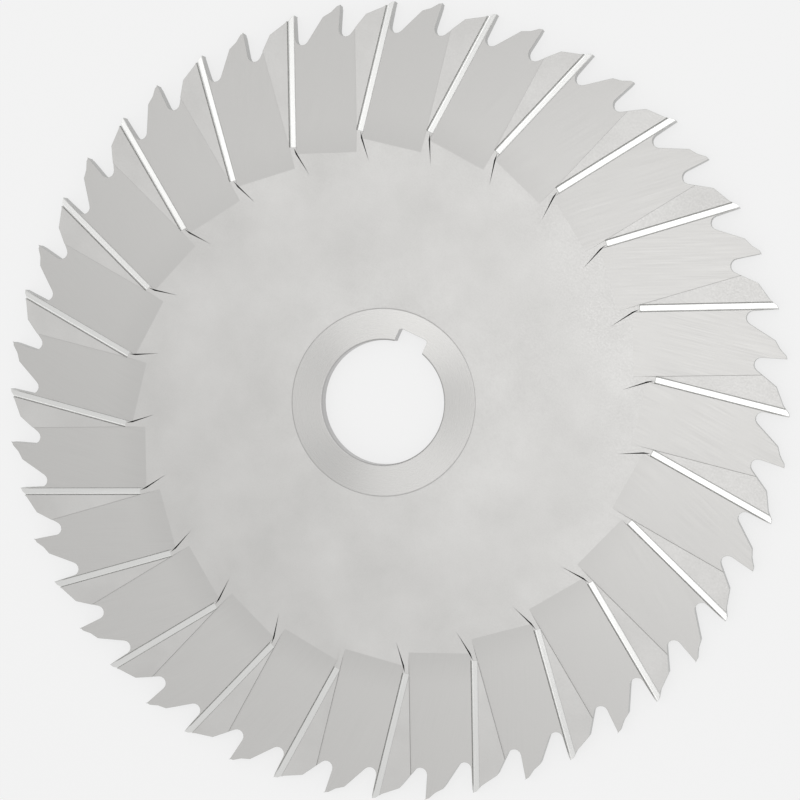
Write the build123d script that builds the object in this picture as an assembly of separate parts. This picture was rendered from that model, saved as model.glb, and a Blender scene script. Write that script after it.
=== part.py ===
from build123d import *
import os
from math import asin, cos, degrees, radians, sin, sqrt, tan

# Side milling cutter of the saw type, with staggered side teeth, ground from one disc.
# The arbor axis is +Z, and the origin is on that axis, midway between the two side faces.
# The keyway points to +Y. Seen from above, the cutter turns clockwise.
# Even teeth cut on the upper side face and odd teeth on the lower one.

# Disc, in millimetres
outside_diameter = 203.2
cutting_width = 3.97
bore_diameter = 31.75
bore_edge_break = 0.3
hub_diameter = 47.6
web_outer_diameter = 122.0
web_relief = 0.2
hub_step_slope = 45.0

# Keyway for the arbor key
keyway_width = 7.94
keyway_depth = 3.18
keyway_corner_radius = 0.8

# Peripheral teeth: angles in degrees, the hook is that of the tooth faces
tooth_pairs = 24
first_tooth_angle = 8.5
odd_tooth_lead = 7.0
face_hook = 10.0
gullet_depth = 8.1
gullet_radius = 1.75
back_angle = 44.0
land_width = 0.9
land_relief = 9.0
heel_width = 1.85
heel_relief = 35.0
shoulder_relief = 22.0

# Side gashes: the slot in front of each side cutting edge
gash_hook = 12.3
gash_width = 1.85
gash_depth = 1.1
gash_floor_radius = 0.4
gash_end_radius = 69.0

# Side relief pads: the shallow flats ground between one gash and the next side tooth
pad_width = 16.0
pad_depth = 0.35
pad_end_beyond_gash = 1.8
pad_wheel_radius = 90.0

# Worked out from the sizes above
tip_radius = outside_diameter / 2
half_width = cutting_width / 2
pitch_angle = 360 / tooth_pairs
beyond_rim = tip_radius + gullet_depth


def polar(radius, angle):
    """A point of the XY plane at a radius and an angle in degrees."""
    return Vector(radius * cos(radians(angle)), radius * sin(radians(angle)))


def line_crossing(point_a, direction_a, point_b, direction_b):
    """Where two lines of the XY plane cross."""
    gap = point_b - point_a
    across = direction_a.X * direction_b.Y - direction_a.Y * direction_b.X
    along = (gap.X * direction_b.Y - gap.Y * direction_b.X) / across
    return point_a + direction_a * along


def face_angle_at(radius, hook, shift=0.0):
    """How far a straight tooth face has fallen behind its tip at a radius, in degrees."""
    offset = tip_radius * sin(radians(hook)) - shift
    return degrees(asin(offset / radius)) - hook


# Blank


def side_profile():
    """Half section of the blank: bore, hub face, step down to the hollow web, and the rim."""
    bore_radius = bore_diameter / 2
    hub_radius = hub_diameter / 2
    step_width = web_relief / tan(radians(hub_step_slope))
    upper = [
        (bore_radius, half_width - bore_edge_break),
        (bore_radius + bore_edge_break, half_width),
        (hub_radius, half_width),
        (hub_radius + step_width, half_width - web_relief),
        (web_outer_diameter / 2, half_width),
        (beyond_rim, half_width),
    ]
    lower = [(x, -z) for x, z in reversed(upper)]
    return make_face(Plane.XZ * Polyline(*upper, *lower, close=True))


def blank():
    return revolve(side_profile(), Axis.Z)


# Peripheral teeth


def tooth_points(tip_angle):
    """The corners of one tooth and of the gullet in front of it, each as a point."""
    tip = polar(tip_radius, tip_angle)
    land_end = polar(
        tip_radius - land_width * tan(radians(land_relief)),
        tip_angle + degrees(land_width / tip_radius),
    )
    heel_end = polar(
        tip_radius - land_width * tan(radians(land_relief)) - heel_width * tan(radians(heel_relief)),
        tip_angle + degrees((land_width + heel_width) / tip_radius),
    )
    centre_radius = tip_radius - gullet_depth + gullet_radius
    centre_angle = tip_angle + face_angle_at(centre_radius, face_hook, gullet_radius)
    centre = polar(centre_radius, centre_angle)
    to_face = polar(gullet_radius, tip_angle + 90 - face_hook)
    to_back = polar(gullet_radius, centre_angle + 180 + back_angle)
    return {
        "tip": tip,
        "land_end": land_end,
        "heel_end": heel_end,
        "shoulder_way": polar(1, tip_angle + 90 + shoulder_relief),
        "face_foot": centre + to_face,
        "gullet_bottom": centre + (to_face + to_back).normalized() * gullet_radius,
        "back_foot": centre + to_back,
        "back_way": polar(1, centre_angle - 90 + back_angle),
    }


def tip_angles():
    """Even teeth on the pitch, each odd tooth behind the even one by the lead."""
    angles = []
    for pair in range(tooth_pairs):
        even = first_tooth_angle + pair * pitch_angle
        angles += [even, even + pitch_angle - odd_tooth_lead]
    return angles


def rim_outline():
    """The toothed outline of the disc, drawn anticlockwise from tooth to tooth."""
    teeth = [tooth_points(angle) for angle in tip_angles()]
    edges = []
    for number, tooth in enumerate(teeth):
        following = teeth[(number + 1) % len(teeth)]
        knee = line_crossing(
            tooth["heel_end"], tooth["shoulder_way"], following["back_foot"], following["back_way"]
        )
        edges += [
            ThreePointArc(tooth["back_foot"], tooth["gullet_bottom"], tooth["face_foot"]),
            Line(tooth["face_foot"], tooth["tip"]),
            Line(tooth["tip"], tooth["land_end"]),
            Line(tooth["land_end"], tooth["heel_end"]),
            Line(tooth["heel_end"], knee),
            Line(knee, following["back_foot"]),
        ]
    return make_face(edges)


# Side gashes and pads, both laid out for a tooth whose tip is on +X


def gash_plane():
    """Local frame of a gash: X outwards along its leading edge, Y towards the side cutting edge."""
    inner_angle = face_angle_at(gash_end_radius, gash_hook)
    start = polar(gash_end_radius, inner_angle)
    return Plane(origin=(start.X, start.Y, half_width), x_dir=polar(1, -gash_hook), z_dir=(0, 0, 1))


def gash_tool():
    """The U-shaped slot of one gash, open at the rim and square at its inner end."""
    length = beyond_rim - gash_end_radius
    slot = Box(
        length, gash_width, 2 * gash_depth, align=(Align.MIN, Align.MIN, Align.CENTER)
    )
    floor_edges = slot.edges().filter_by(Axis.X).group_by(Axis.Z)[0]
    return gash_plane() * fillet(floor_edges, gash_floor_radius)


def pad_tool():
    """The shallow flat of one pad, which runs out inwards on the radius of its wheel."""
    runout = sqrt(pad_wheel_radius**2 - (pad_wheel_radius - pad_depth) ** 2)
    half_turn = asin(runout / pad_wheel_radius) / 2
    middle_x = runout - pad_wheel_radius * sin(half_turn)
    middle_z = pad_wheel_radius * (1 - cos(half_turn)) - pad_depth
    length = beyond_rim - gash_end_radius + pad_end_beyond_gash
    corners = [(runout, -pad_depth), (length, -pad_depth), (length, pad_depth), (0, pad_depth), (0, 0)]
    outline = ThreePointArc((0, 0), (middle_x, middle_z), (runout, -pad_depth)) + Polyline(*corners)
    pad = extrude(make_face(Plane.XZ * outline), amount=pad_width)
    return gash_plane() * Pos(-pad_end_beyond_gash, 0, 0) * pad


def side_tools():
    """Every gash and pad of both side faces."""
    upper = [gash_tool(), pad_tool()]
    lower = [mirror(tool, about=Plane.XY) for tool in upper]
    tools = []
    for pair in range(tooth_pairs):
        even = first_tooth_angle + pair * pitch_angle
        tools += [Rot(0, 0, even) * tool for tool in upper]
        tools += [Rot(0, 0, even - odd_tooth_lead) * tool for tool in lower]
    return tools


# Keyway


def keyway_tool():
    """The slot for the arbor key, from inside the bore out to the keyway floor."""
    floor_height = bore_diameter / 2 + keyway_depth
    slot = Box(
        keyway_width, floor_height, 2 * cutting_width, align=(Align.CENTER, Align.MIN, Align.CENTER)
    )
    corners = slot.edges().filter_by(Axis.Z).group_by(Axis.Y)[-1]
    return fillet(corners, keyway_corner_radius)


cutter_body = blank() & extrude(rim_outline(), amount=cutting_width, both=True)
cutter_body -= keyway_tool()
cutter_body -= side_tools()

os.makedirs("parts", exist_ok=True)
export_step(cutter_body, "parts/cutter_body.step")
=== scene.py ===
from math import asin, atan2, cos, degrees, hypot, pi, radians, sin, sqrt, tan

import bmesh
import bpy
from mathutils import Matrix, Vector


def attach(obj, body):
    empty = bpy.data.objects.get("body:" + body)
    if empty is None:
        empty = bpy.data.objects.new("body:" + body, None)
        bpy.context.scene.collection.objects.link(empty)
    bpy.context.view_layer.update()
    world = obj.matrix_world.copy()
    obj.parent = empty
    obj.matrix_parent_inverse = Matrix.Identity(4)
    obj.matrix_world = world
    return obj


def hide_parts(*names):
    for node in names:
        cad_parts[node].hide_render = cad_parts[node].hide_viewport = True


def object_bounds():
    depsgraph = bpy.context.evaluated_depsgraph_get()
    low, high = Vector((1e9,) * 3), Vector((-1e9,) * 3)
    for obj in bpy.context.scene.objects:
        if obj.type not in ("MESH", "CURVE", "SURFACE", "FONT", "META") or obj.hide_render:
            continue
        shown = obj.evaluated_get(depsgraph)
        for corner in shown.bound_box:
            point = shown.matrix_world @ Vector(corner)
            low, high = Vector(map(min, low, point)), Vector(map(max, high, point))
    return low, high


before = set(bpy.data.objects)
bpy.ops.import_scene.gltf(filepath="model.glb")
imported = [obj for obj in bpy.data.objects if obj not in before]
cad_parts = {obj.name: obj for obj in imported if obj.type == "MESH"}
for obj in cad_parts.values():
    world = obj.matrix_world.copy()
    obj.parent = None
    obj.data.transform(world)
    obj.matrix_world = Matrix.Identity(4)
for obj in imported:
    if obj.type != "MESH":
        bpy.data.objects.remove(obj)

cad_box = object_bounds()

# A staggered-tooth side milling cutter, lying on its side face as it rests on a bench.
# The arbor axis is Z, the keyway points to +Y, and lengths are in metres.
# The visible cutter is made as a toolroom makes it: a turned blank, then one grinding pass
# after another, each pass the same wheel body set round the arbor axis and cut away.
MM = 0.001

# Blank
outside_diameter = 203.2 * MM
cutting_width = 3.97 * MM
bore_diameter = 31.75 * MM
bore_edge_break = 0.3 * MM
hub_diameter = 47.6 * MM
web_outer_diameter = 122.0 * MM
web_relief = 0.2 * MM
blank_segments = 480
rim_segments = 48

# Keyway
keyway_width = 7.94 * MM
keyway_depth = 3.18 * MM
keyway_corner_radius = 0.8 * MM

# Teeth round the rim
tooth_pairs = 24
first_tooth_angle = radians(8.5)
odd_tooth_lead = radians(7.0)
face_hook = radians(10.0)
gullet_depth = 8.1 * MM
gullet_radius = 1.75 * MM
back_angle = radians(44.0)
land_width = 0.9 * MM
land_relief = radians(9.0)
heel_width = 1.85 * MM
heel_relief = radians(35.0)
shoulder_relief = radians(22.0)

# Side gashes and relief pads
gash_hook = radians(12.3)
gash_width = 1.85 * MM
gash_depth = 1.1 * MM
gash_floor_radius = 0.4 * MM
gash_end_radius = 69.0 * MM
pad_width = 16.0 * MM
pad_depth = 0.35 * MM
pad_end_beyond_gash = 1.8 * MM
pad_wheel_radius = 90.0 * MM
edge_break = 0.07 * MM

# Camera, as the photograph was taken; the turn sets the keyway's place in the picture
keyway_turn = radians(23.5)
camera_lean = radians(12.639)
camera_side = radians(8.956)
camera_roll = radians(1.692)
camera_distance = 517.9 * MM
camera_right = 3.988 * MM
camera_up = 0.553 * MM
focal_length = 91.34
room_light = 0.6

# Worked out from the sizes above
tip_radius = outside_diameter / 2
half_width = cutting_width / 2
pitch = 2 * pi / tooth_pairs
overshoot = 3.0 * MM
side_overlap = 0.03 * MM
seam_weld = 0.03 * MM
arc_steps = 6


def polar(radius, angle):
    return Vector((radius * cos(angle), radius * sin(angle)))


def arc(centre, radius, start, end, steps=arc_steps):
    """Points of a round stretch, both ends included."""
    return [centre + polar(radius, start + (end - start) * i / steps) for i in range(steps + 1)]


def crossing(point_a, way_a, point_b, way_b):
    """Where two lines cross."""
    gap = point_b - point_a
    across = way_a.x * way_b.y - way_a.y * way_b.x
    return point_a + way_a * ((gap.x * way_b.y - gap.y * way_b.x) / across)


def face_angle_at(radius, hook, shift=0.0):
    """How far a straight tooth face has fallen behind its tip at a radius."""
    return asin((tip_radius * sin(hook) - shift) / radius) - hook


def new_object(name, mesh):
    thing = bpy.data.objects.new(name, mesh)
    bpy.context.scene.collection.objects.link(thing)
    return thing


def prism(name, outline, length, place=Matrix.Identity(4)):
    """A straight body: the outline in its own XY plane, drawn out along Z, then put in place."""
    form = bmesh.new()
    bottom = [form.verts.new((x, y, 0)) for x, y in outline]
    top = [form.verts.new((x, y, length)) for x, y in outline]
    form.faces.new(bottom[::-1])
    form.faces.new(top)
    for i in range(len(outline)):
        j = (i + 1) % len(outline)
        form.faces.new((bottom[i], bottom[j], top[j], top[i]))
    form.transform(place)
    form.normal_update()
    bmesh.ops.recalc_face_normals(form, faces=form.faces)
    mesh = bpy.data.meshes.new(name)
    form.to_mesh(mesh)
    form.free()
    return new_object(name, mesh)


def turned_blank(finishes):
    """The disc as it leaves the lathe; finishes gives the material number of each ring."""
    bore = bore_diameter / 2
    hub = hub_diameter / 2
    upper = [
        (bore, half_width - bore_edge_break),
        (bore + bore_edge_break, half_width),
        (hub, half_width),
        (hub + web_relief, half_width - web_relief),
        (web_outer_diameter / 2, half_width),
    ]
    profile = [(r, -z) for r, z in reversed(upper)] + upper
    form = bmesh.new()
    rings = []
    for r, z in profile:
        ring = []
        for step in range(blank_segments):
            x, y = polar(r, 2 * pi * step / blank_segments)
            ring.append(form.verts.new((x, y, z)))
        rings.append(ring)
    for number in range(len(rings) - 1):
        ring, following = rings[number : number + 2]
        for i in range(blank_segments):
            face = form.faces.new((ring[i - 1], ring[i], following[i], following[i - 1]))
            face.material_index = finishes[number]
    close_rim(form, rings[0], rings[-1])
    form.normal_update()
    bmesh.ops.recalc_face_normals(form, faces=form.faces)
    mesh = bpy.data.meshes.new("blank")
    form.to_mesh(mesh)
    form.free()
    return new_object("blank", mesh)


def close_rim(form, lower_ring, upper_ring):
    """Carries both flat sides of the blank out past the teeth, and closes them with its rim."""
    share = blank_segments // rim_segments
    radius = (tip_radius + overshoot) / cos(pi / rim_segments)
    corners = []
    for step in range(rim_segments):
        x, y = polar(radius, 2 * pi * step / rim_segments)
        corners.append([form.verts.new((x, y, z)) for z in (-half_width, half_width)])
    for step in range(rim_segments):
        here, there = corners[step], corners[(step + 1) % rim_segments]
        form.faces.new((here[0], there[0], there[1], here[1]))
        for level, ring in enumerate((lower_ring, upper_ring)):
            inner = [ring[(step * share + i) % blank_segments] for i in range(share + 1)]
            form.faces.new(inner + [there[level], here[level]])


def tooth_gap(tip_angle, previous_angle):
    """What the gullet wheel takes away between a tooth face and the back of the tooth before."""
    tip = polar(tip_radius, tip_angle)
    outer = tip_radius + 2 * overshoot
    face_end = crossing(tip, polar(1, tip_angle - face_hook), polar(outer, tip_angle), polar(1, tip_angle + pi / 2))
    centre_radius = tip_radius - gullet_depth + gullet_radius
    centre_angle = tip_angle + face_angle_at(centre_radius, face_hook, gullet_radius)
    centre = polar(centre_radius, centre_angle)
    face_side = tip_angle + pi / 2 - face_hook
    back_side = centre_angle + pi + back_angle
    back_foot = centre + polar(gullet_radius, back_side)
    before = polar(tip_radius, previous_angle)
    land_drop = land_width * tan(land_relief)
    heel_drop = heel_width * tan(heel_relief)
    land_end = polar(tip_radius - land_drop, previous_angle + land_width / tip_radius)
    heel_end = polar(
        tip_radius - land_drop - heel_drop, previous_angle + (land_width + heel_width) / tip_radius
    )
    before_tip = before + (before - land_end).normalized() * overshoot
    knee = crossing(
        heel_end,
        polar(1, previous_angle + pi / 2 + shoulder_relief),
        back_foot,
        polar(1, centre_angle - pi / 2 + back_angle),
    )
    gullet = arc(centre, gullet_radius, face_side, back_side)
    corners = [face_end, polar(outer, previous_angle - overshoot / tip_radius), before_tip]
    return corners + [before, land_end, heel_end, knee] + gullet[::-1]


def side_frame():
    """Local frame of a gash: X outwards, Y towards the side cutting edge, on the upper face."""
    start = polar(gash_end_radius, face_angle_at(gash_end_radius, gash_hook))
    return Matrix.Translation((start.x, start.y, half_width)) @ Matrix.Rotation(-gash_hook, 4, "Z")


def gash_wheel():
    """The U-shaped slot of one gash; its end is square and it runs out over the rim."""
    r = gash_floor_radius
    floor = -gash_depth
    near = arc(Vector((r, floor + r)), r, pi, 1.5 * pi)
    far = arc(Vector((gash_width - r, floor + r)), r, 1.5 * pi, 2 * pi)
    near = [Vector((point.x - side_overlap, point.y)) for point in near]
    outline = [Vector((-side_overlap, gash_depth))] + near + far + [Vector((gash_width, gash_depth))]
    upright = Matrix(((0, 0, 1, 0), (1, 0, 0, 0), (0, 1, 0, 0), (0, 0, 0, 1)))
    length = tip_radius + overshoot - gash_end_radius
    return prism("gash_wheel", outline, length, side_frame() @ upright)


def pad_wheel():
    """The shallow flat of one pad, which runs out inwards on the radius of its wheel."""
    runout = sqrt(pad_wheel_radius**2 - (pad_wheel_radius - pad_depth) ** 2)
    length = tip_radius + overshoot - gash_end_radius + pad_end_beyond_gash
    centre = Vector((runout, pad_wheel_radius - pad_depth))
    curve = arc(centre, pad_wheel_radius, 1.5 * pi - asin(runout / pad_wheel_radius), 1.5 * pi, 8)
    outline = curve + [Vector((length, -pad_depth)), Vector((length, pad_depth)), Vector((0, pad_depth))]
    upright = Matrix(((1, 0, 0, 0), (0, 0, -1, 0), (0, 1, 0, 0), (0, 0, 0, 1)))
    place = side_frame() @ Matrix.Translation((-pad_end_beyond_gash, 0, 0)) @ upright
    return prism("pad_wheel", outline, pad_width, place)


def keyway_broach():
    """The slot for the arbor key, drawn from inside the bore out to the keyway floor."""
    half = keyway_width / 2
    r = keyway_corner_radius
    floor = bore_diameter / 2 + keyway_depth
    right = arc(Vector((half - r, floor - r)), r, 0, pi / 2)
    left = arc(Vector((r - half, floor - r)), r, pi / 2, pi)
    outline = [Vector((-half, 0)), Vector((half, 0))] + right + left
    place = Matrix.Translation((0, 0, -cutting_width))
    return prism("keyway_broach", outline, 2 * cutting_width, place)


def turned_over(tool):
    """The same wheel body for the lower side face."""
    form = bmesh.new()
    form.from_mesh(tool.data)
    form.transform(Matrix.Scale(-1, 4, (0, 0, 1)))
    form.normal_update()
    bmesh.ops.recalc_face_normals(form, faces=form.faces)
    mesh = bpy.data.meshes.new(tool.name + "_below")
    form.to_mesh(mesh)
    form.free()
    return new_object(mesh.name, mesh)


def add(tree, kind, inputs=None, **settings):
    """A node with its settings, each input either linked to a socket or given a value."""
    made = tree.nodes.new(kind)
    for name, value in settings.items():
        setattr(made, name, value)
    for name, value in (inputs or {}).items():
        if isinstance(value, bpy.types.NodeSocket):
            tree.links.new(value, made.inputs[name])
        else:
            made.inputs[name].default_value = value
    return made


def math(tree, operation, *values):
    return add(tree, "ShaderNodeMath", dict(enumerate(values)), operation=operation).outputs[0]


def grinding_pass_tree():
    """One grinding pass: a wheel body set a number of times round the arbor axis and cut away."""
    tree = bpy.data.node_groups.new("grinding_pass", "GeometryNodeTree")
    sockets = (
        ("Geometry", "Geometry"),
        ("Wheel body", "Object"),
        ("Cuts", "Int"),
        ("First angle", "Float"),
        ("Finish", "Material"),
    )
    for name, kind in sockets:
        tree.interface.new_socket(name, in_out="INPUT", socket_type="NodeSocket" + kind)
    tree.interface.new_socket("Geometry", in_out="OUTPUT", socket_type="NodeSocketGeometry")
    given = add(tree, "NodeGroupInput").outputs
    mark = {"data_type": "BOOLEAN", "domain": "FACE"}
    old = add(
        tree,
        "GeometryNodeStoreNamedAttribute",
        {"Geometry": given["Geometry"], "Name": "fresh_cut", "Value": False},
        **mark,
    )
    body = add(tree, "GeometryNodeObjectInfo", {"Object": given["Wheel body"]})
    new = add(
        tree,
        "GeometryNodeStoreNamedAttribute",
        {"Geometry": body.outputs["Geometry"], "Name": "fresh_cut", "Value": True},
        **mark,
    )
    places = add(tree, "GeometryNodePoints", {"Count": given["Cuts"]})
    number = add(tree, "GeometryNodeInputIndex").outputs[0]
    step = math(tree, "DIVIDE", 2 * pi, given["Cuts"])
    turn = math(tree, "MULTIPLY_ADD", number, step, given["First angle"])
    euler = add(tree, "ShaderNodeCombineXYZ", {"Z": turn})
    rotation = add(tree, "FunctionNodeEulerToRotation", {0: euler.outputs[0]})
    wheels = add(
        tree,
        "GeometryNodeInstanceOnPoints",
        {"Points": places.outputs[0], "Instance": new.outputs[0], "Rotation": rotation.outputs[0]},
    )
    cut = add(
        tree,
        "GeometryNodeMeshBoolean",
        {"Mesh 1": old.outputs[0], "Mesh 2": wheels.outputs[0]},
        operation="DIFFERENCE",
        solver="MANIFOLD",
    )
    fresh = add(
        tree, "GeometryNodeInputNamedAttribute", {"Name": "fresh_cut"}, data_type="BOOLEAN"
    )
    real = add(tree, "GeometryNodeRealizeInstances", {"Geometry": cut.outputs["Mesh"]})
    faced = add(
        tree,
        "GeometryNodeSetMaterial",
        {
            "Geometry": real.outputs[0],
            "Selection": fresh.outputs["Attribute"],
            "Material": given["Finish"],
        },
    )
    add(tree, "NodeGroupOutput", {"Geometry": faced.outputs[0]})
    return tree


def surface(name, grain_axis=None, anisotropic=0.0, roughness=0.4):
    """An empty metal finish: its tree and its shader. grain_axis, the coordinates its pattern would follow, is not
    used.
    """
    finish = bpy.data.materials.new(name)
    finish.use_nodes = True
    tree = finish.node_tree
    tree.nodes.clear()
    shader = add(
        tree,
        "ShaderNodeBsdfPrincipled",
        {"Metallic": 1.0, "Roughness": roughness, "Anisotropic": anisotropic},
    )
    add(tree, "ShaderNodeOutputMaterial", {"Surface": shader.outputs[0]})
    return finish, tree, shader


def scaled(tree, vector, scale):
    """A pattern's coordinates with their own scale along each axis."""
    return add(
        tree, "ShaderNodeMapping", {"Vector": vector, "Scale": scale}, vector_type="POINT"
    ).outputs[0]


def noise(tree, vector, scale, detail=3.0, rough=0.5):
    settings = {"Vector": vector, "Scale": scale, "Detail": detail, "Roughness": rough}
    return add(tree, "ShaderNodeTexNoise", settings).outputs["Fac"]


def spread(tree, value, low, high, start=0.3, end=0.7):
    """A pattern value carried into a range, such as of roughness."""
    settings = {
        "Value": value,
        "From Min": start,
        "From Max": end,
        "To Min": low,
        "To Max": high,
    }
    return add(tree, "ShaderNodeMapRange", settings).outputs[0]


def tone(tree, amount, dark, light):
    """A colour between two steel tones."""
    settings = {"Factor": amount}
    mixed = add(tree, "ShaderNodeMix", settings, data_type="RGBA")
    mixed.inputs["A"].default_value = (*dark, 1)
    mixed.inputs["B"].default_value = (*light, 1)
    for socket in mixed.inputs:
        if socket.type == "RGBA" and socket.name == "A":
            socket.default_value = (*dark, 1)
        if socket.type == "RGBA" and socket.name == "B":
            socket.default_value = (*light, 1)
    return [socket for socket in mixed.outputs if socket.type == "RGBA"][0]


def bump(tree, height, strength, distance):
    settings = {"Height": height, "Strength": strength, "Distance": distance}
    return add(tree, "ShaderNodeBump", settings).outputs[0]


def side_finish():
    """Web and lands: fine matt grinding with faint clouding."""
    finish, tree, shader = surface("matt_ground_side")
    place = add(tree, "ShaderNodeTexCoord").outputs["Object"]
    clouds = noise(tree, place, 45.0, 4.0, 0.6)
    grain = noise(tree, place, 2600.0, 2.0, 0.6)
    cloud_amount = spread(tree, clouds, 0.0, 1.0)
    tree.links.new(tone(tree, cloud_amount, (0.47, 0.465, 0.455), (0.53, 0.525, 0.515)), shader.inputs["Base Color"])
    tree.links.new(spread(tree, grain, 0.40, 0.52), shader.inputs["Roughness"])
    tree.links.new(bump(tree, grain, 0.25, 0.00002), shader.inputs["Normal"])
    return finish


def hub_finish():
    """Hub faces: turned rings that throw fans of light."""
    finish, tree, shader = surface("turned_hub_face", anisotropic=0.85, roughness=0.3)
    place = add(tree, "ShaderNodeTexCoord").outputs["Object"]
    radius = add(tree, "ShaderNodeVectorMath", {0: scaled(tree, place, (1, 1, 0))}, operation="LENGTH")
    rings = add(tree, "ShaderNodeCombineXYZ", {"X": radius.outputs["Value"]})
    fine = noise(tree, rings.outputs[0], 9000.0, 2.0, 0.7)
    tree.links.new(tone(tree, fine, (0.42, 0.415, 0.405), (0.52, 0.515, 0.505)), shader.inputs["Base Color"])
    tree.links.new(spread(tree, fine, 0.24, 0.34), shader.inputs["Roughness"])
    tree.links.new(bump(tree, fine, 0.3, 0.000006), shader.inputs["Normal"])
    around = add(tree, "ShaderNodeTangent", direction_type="RADIAL", axis="Z")
    tree.links.new(around.outputs[0], shader.inputs["Tangent"])
    return finish


def wheel_finish(name, dark, light, rough_low, rough_high, anisotropic=0.5):
    """A surface that a grinding wheel left, with its marks along the way it ran."""
    finish, tree, shader = surface(name, anisotropic=anisotropic)
    run = add(tree, "ShaderNodeUVMap", uv_map="wheel_run").outputs[0]
    marks = noise(tree, scaled(tree, run, (60.0, 4500.0, 1.0)), 1.0, 3.0, 0.65)
    tree.links.new(tone(tree, marks, dark, light), shader.inputs["Base Color"])
    tree.links.new(spread(tree, marks, rough_low, rough_high), shader.inputs["Roughness"])
    tree.links.new(bump(tree, marks, 0.3, 0.000008), shader.inputs["Normal"])
    along = add(tree, "ShaderNodeTangent", direction_type="UV_MAP", uv_map="wheel_run")
    tree.links.new(along.outputs[0], shader.inputs["Tangent"])
    return finish


side = side_finish()
hub = hub_finish()
bore_wall = wheel_finish("ground_bore", (0.40, 0.395, 0.39), (0.5, 0.495, 0.49), 0.25, 0.35)
pad = wheel_finish("ground_pad", (0.43, 0.425, 0.415), (0.5, 0.495, 0.485), 0.36, 0.48)
gash = wheel_finish("bright_gash", (0.58, 0.58, 0.57), (0.66, 0.66, 0.65), 0.18, 0.28)
tooth = wheel_finish("ground_tooth", (0.42, 0.42, 0.41), (0.5, 0.5, 0.49), 0.3, 0.4)


def lay_wheel_run(mesh):
    """Writes the way each wheel ran as a UV map: U along its marks and V across them, in metres."""
    run = mesh.uv_layers.new(name="wheel_run")
    frames = {}
    for face in mesh.polygons:
        x, y, z = face.center
        radius = max(hypot(x, y), gash_end_radius * sin(gash_hook) * 1.5)
        upper = z >= 0
        first = first_tooth_angle if upper else first_tooth_angle - odd_tooth_lead
        place = (atan2(y, x) - first - face_angle_at(radius, gash_hook)) / pitch
        number = round(place - 0.45)
        key = (upper, number)
        if key not in frames:
            turn = Matrix.Rotation(first + number * pitch, 4, "Z")
            frames[key] = (turn @ side_frame()).inverted()
        for loop in face.loop_indices:
            corner = mesh.vertices[mesh.loops[loop].vertex_index].co
            along, across, up = frames[key] @ corner
            run.data[loop].uv = (along + 0.37 * number, across + up + 0.11 * number)


def finished_mesh(thing):
    shown = thing.evaluated_get(bpy.context.evaluated_depsgraph_get())
    return bpy.data.meshes.new_from_object(shown)


def weld_seams(mesh):
    """Joins the near-doubled corners where one pass meets another."""
    form = bmesh.new()
    form.from_mesh(mesh)
    bmesh.ops.remove_doubles(form, verts=form.verts, dist=seam_weld)
    bmesh.ops.dissolve_degenerate(form, edges=form.edges, dist=seam_weld)
    form.to_mesh(mesh)
    form.free()


def ground_cutter():
    """The whole cutter: blank, then every pass, then the small breaks on its edges."""
    finishes = [0, 0, 2, 1, 1, 1, 2, 0, 0]
    blank = turned_blank(finishes)
    for finish in (side, bore_wall, hub):
        blank.data.materials.append(finish)
    through = Matrix.Translation((0, 0, -cutting_width))
    even_gap = prism("even_gap", tooth_gap(0, -odd_tooth_lead), 2 * cutting_width, through)
    odd_gap = prism("odd_gap", tooth_gap(-odd_tooth_lead, -pitch), 2 * cutting_width, through)
    gash_body = gash_wheel()
    pad_body = pad_wheel()
    gash_below = turned_over(gash_body)
    pad_below = turned_over(pad_body)
    broach = keyway_broach()
    odd_angle = first_tooth_angle - odd_tooth_lead
    passes = (
        (even_gap, tooth_pairs, first_tooth_angle, tooth),
        (odd_gap, tooth_pairs, first_tooth_angle, tooth),
        (broach, 1, 0.0, bore_wall),
        (pad_body, tooth_pairs, first_tooth_angle, pad),
        (pad_below, tooth_pairs, odd_angle, pad),
        (gash_body, tooth_pairs, first_tooth_angle, gash),
        (gash_below, tooth_pairs, odd_angle, gash),
    )
    tree = grinding_pass_tree()
    named = {item.name: item.identifier for item in tree.interface.items_tree if item.in_out == "INPUT"}
    for body, cuts, first_angle, finish in passes:
        step = blank.modifiers.new(body.name, "NODES")
        step.node_group = tree
        step[named["Wheel body"]] = body
        step[named["Cuts"]] = cuts
        step[named["First angle"]] = first_angle
        step[named["Finish"]] = finish
    mesh = finished_mesh(blank)
    weld_seams(mesh)
    blank.modifiers.clear()
    blank.data = mesh
    edges = blank.modifiers.new("edge_breaks", "BEVEL")
    edges.limit_method = "ANGLE"
    edges.angle_limit = radians(28)
    edges.width = edge_break
    edges.segments = 2
    edges.use_clamp_overlap = False
    mesh = finished_mesh(blank)
    for corner in mesh.vertices:
        corner.co.z = max(-half_width, min(half_width, corner.co.z))
    for body in [blank] + [row[0] for row in passes]:
        bpy.data.objects.remove(body)
    lay_wheel_run(mesh)
    return new_object("ground_cutter", mesh)


cutter = ground_cutter()
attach(cutter, "root")
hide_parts("cutter_body")


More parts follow.
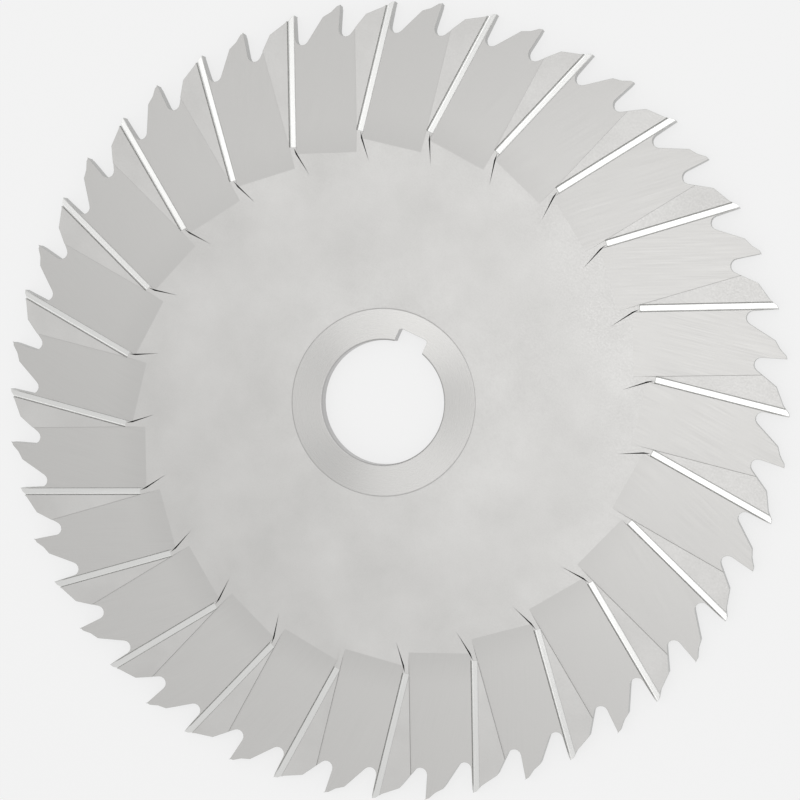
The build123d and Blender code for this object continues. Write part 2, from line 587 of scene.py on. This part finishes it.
# Bench, light and camera
def bench():
    """A plain pale floor that keeps the cutter's shadow."""
    form = bmesh.new()
    bmesh.ops.create_grid(form, x_segments=1, y_segments=1, size=3.0)
    form.transform(Matrix.Translation((0, 0, cad_box[0][2])))
    mesh = bpy.data.meshes.new("bench")
    form.to_mesh(mesh)
    form.free()
    floor = new_object("bench", mesh)
    pale = bpy.data.materials.new("pale_bench")
    pale.use_nodes = True
    tree = pale.node_tree
    tree.nodes.clear()
    path = add(tree, "ShaderNodeLightPath").outputs
    seen = math(tree, "MAXIMUM", path["Is Camera Ray"], path["Is Glossy Ray"])
    matt = add(tree, "ShaderNodeBsdfDiffuse", {"Color": (0.9, 0.9, 0.9, 1)})
    bright = add(tree, "ShaderNodeEmission", {"Color": (1, 1, 1, 1), "Strength": 1.0})
    share = math(tree, "MULTIPLY", seen, 0.7)
    both = add(tree, "ShaderNodeMixShader", {0: share, 1: matt.outputs[0], 2: bright.outputs[0]})
    add(tree, "ShaderNodeOutputMaterial", {"Surface": both.outputs[0]})
    mesh.materials.append(pale)


def studio_world():
    world = bpy.data.worlds.new("studio")
    bpy.context.scene.world = world
    world.use_nodes = True
    tree = world.node_tree
    tree.nodes.clear()
    path = add(tree, "ShaderNodeLightPath").outputs
    seen = math(tree, "MAXIMUM", path["Is Camera Ray"], path["Is Glossy Ray"])
    shown = math(tree, "MAXIMUM", seen, path["Is Transmission Ray"])
    level = math(tree, "MULTIPLY_ADD", shown, 1.0 - room_light, room_light)
    room = add(tree, "ShaderNodeBackground", {"Color": (1, 1, 1, 1), "Strength": level})
    add(tree, "ShaderNodeOutputWorld", {"Surface": room.outputs[0]})


def softbox(name, x, y, height, width, depth, level):
    """An area lamp over the bench, turned towards the cutter."""
    lamp = bpy.data.lights.new(name, "AREA")
    lamp.shape = "RECTANGLE"
    lamp.size = width
    lamp.size_y = depth
    lamp.energy = level * pi * width * depth
    lit = bpy.data.objects.new(name, lamp)
    bpy.context.scene.collection.objects.link(lit)
    lit.location = (x, y, height)
    lit.rotation_euler = Vector((x, y, height)).to_track_quat("Z", "Y").to_euler()


def view_camera():
    """The photographer's camera, set by where it stands over the arbor axis and how it is turned."""
    away = Matrix.Rotation(camera_side, 3, "Z") @ Vector((sin(camera_lean), 0, cos(camera_lean)))
    level = Vector((0, 1, 0)).cross(away).normalized()
    rise = away.cross(level)
    right = level * cos(camera_roll) + rise * sin(camera_roll)
    up = rise * cos(camera_roll) - level * sin(camera_roll)
    spot = away * camera_distance + right * camera_right + up * camera_up
    turn = Matrix.Rotation(keyway_turn, 4, "Z")
    basis = Matrix((right, up, away)).transposed().to_4x4()
    lens = bpy.data.cameras.new("view")
    lens.sensor_width = 36.0
    lens.lens = focal_length
    camera = bpy.data.objects.new("view", lens)
    bpy.context.scene.collection.objects.link(camera)
    camera.matrix_world = turn @ Matrix.Translation(spot) @ basis
    bpy.context.scene.camera = camera


bench()
studio_world()
softbox("key_box", 0.06, 0.05, 0.60, 0.30, 0.30, 1.5)
softbox("side_box", -0.25, 0.02, 0.60, 0.15, 0.2, 1.0)
view_camera()

bpy.context.scene.view_settings.view_transform = "Standard"
